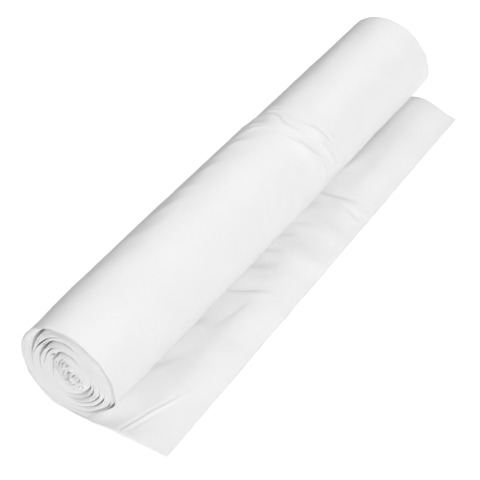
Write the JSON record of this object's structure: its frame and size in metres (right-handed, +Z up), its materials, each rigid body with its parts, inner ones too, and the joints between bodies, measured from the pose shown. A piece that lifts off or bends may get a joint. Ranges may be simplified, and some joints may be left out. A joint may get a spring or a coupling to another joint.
{
  "type": "bin bag roll",
  "caption": "Coreless roll of thin white plastic bin bags lying on its side, with slack turns at its ends and the tail of the last bag pulled out along the floor.",
  "frame": {"origin": "on the floor, below the roll's axis and midway between its two ends", "axes": "+Y along the roll, +Z up, +X towards the loose tail"},
  "size_m": [0.0885, 0.33, 0.0571],
  "materials": {
    "film": "satin thin white polyethylene film"
  },
  "bodies": {
    "root": {"bag_roll": "film"}
  },
  "joints": []
}
